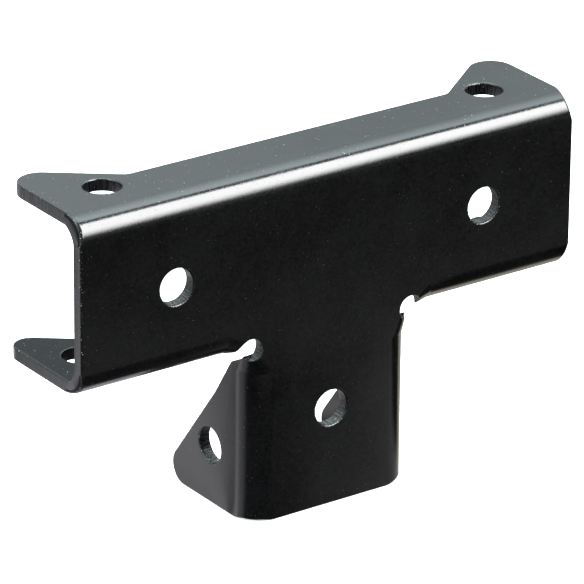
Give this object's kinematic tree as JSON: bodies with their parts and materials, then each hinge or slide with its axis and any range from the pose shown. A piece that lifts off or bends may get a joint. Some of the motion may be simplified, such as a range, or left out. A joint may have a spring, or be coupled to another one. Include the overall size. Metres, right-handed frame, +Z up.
{
  "type": "t-shaped shelf connector",
  "caption": "T-shaped connector folded from sheet steel; its flanged arms and stem hold timber rails where a shelf meets an upright, with screw holes in every side.",
  "frame": {"origin": "where the centre lines of the arms and the stem cross, on the inner side of the flat T face, which seats against the timber", "axes": "+X along the arms, +Y the way the flanges fold back from the face, +Z up, so the stem points to -Z and the outer side of the face looks to -Y"},
  "size_m": [0.138, 0.032, 0.0875],
  "materials": {
    "black_powder_coat": "semi-gloss black powder coat with a fine texture"
  },
  "bodies": {
    "root": {"t_connector": "black_powder_coat"}
  },
  "joints": []
}
